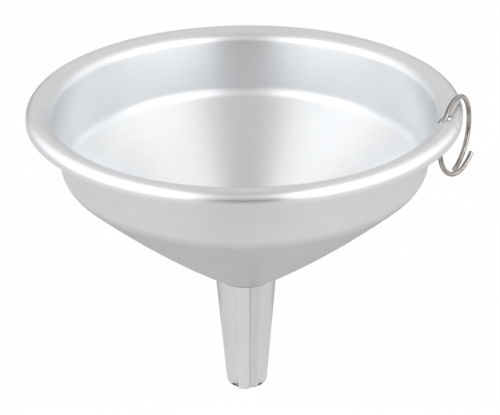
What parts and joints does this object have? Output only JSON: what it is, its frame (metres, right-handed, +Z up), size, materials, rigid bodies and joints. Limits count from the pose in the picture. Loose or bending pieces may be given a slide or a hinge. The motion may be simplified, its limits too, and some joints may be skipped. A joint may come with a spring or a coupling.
{
  "type": "canning funnel",
  "caption": "Round metal funnel with a rolled rim, a tapered lap-seamed spout and a split wire ring to hang it by.",
  "frame": {"origin": "centre of the spout's open end, where the funnel is held in a bottle or jar", "axes": "+Z up along the funnel's axis through its mouth; the spout's seam faces -Y; the hanging ring is on the +X side"},
  "size_m": [0.1372, 0.133, 0.1059],
  "materials": {
    "bowl_aluminium": "spun and lightly polished, with fine turning lines",
    "spout_aluminium": "rolled sheet, satin",
    "ring_wire": "bright nickel-plated steel wire"
  },
  "bodies": {
    "funnel": {"bowl": "bowl_aluminium", "spout": "spout_aluminium"},
    "ring": {"hanging_ring": "ring_wire"}
  },
  "joints": [
    {"name": "ring_swing", "type": "hinge", "parent": "funnel", "child": "ring", "pos_m": [0.05919, -0.01742, 0.10146], "axis": [-0.3458, -0.5885, -0.7308], "range_deg": [-3, 120]}
  ]
}
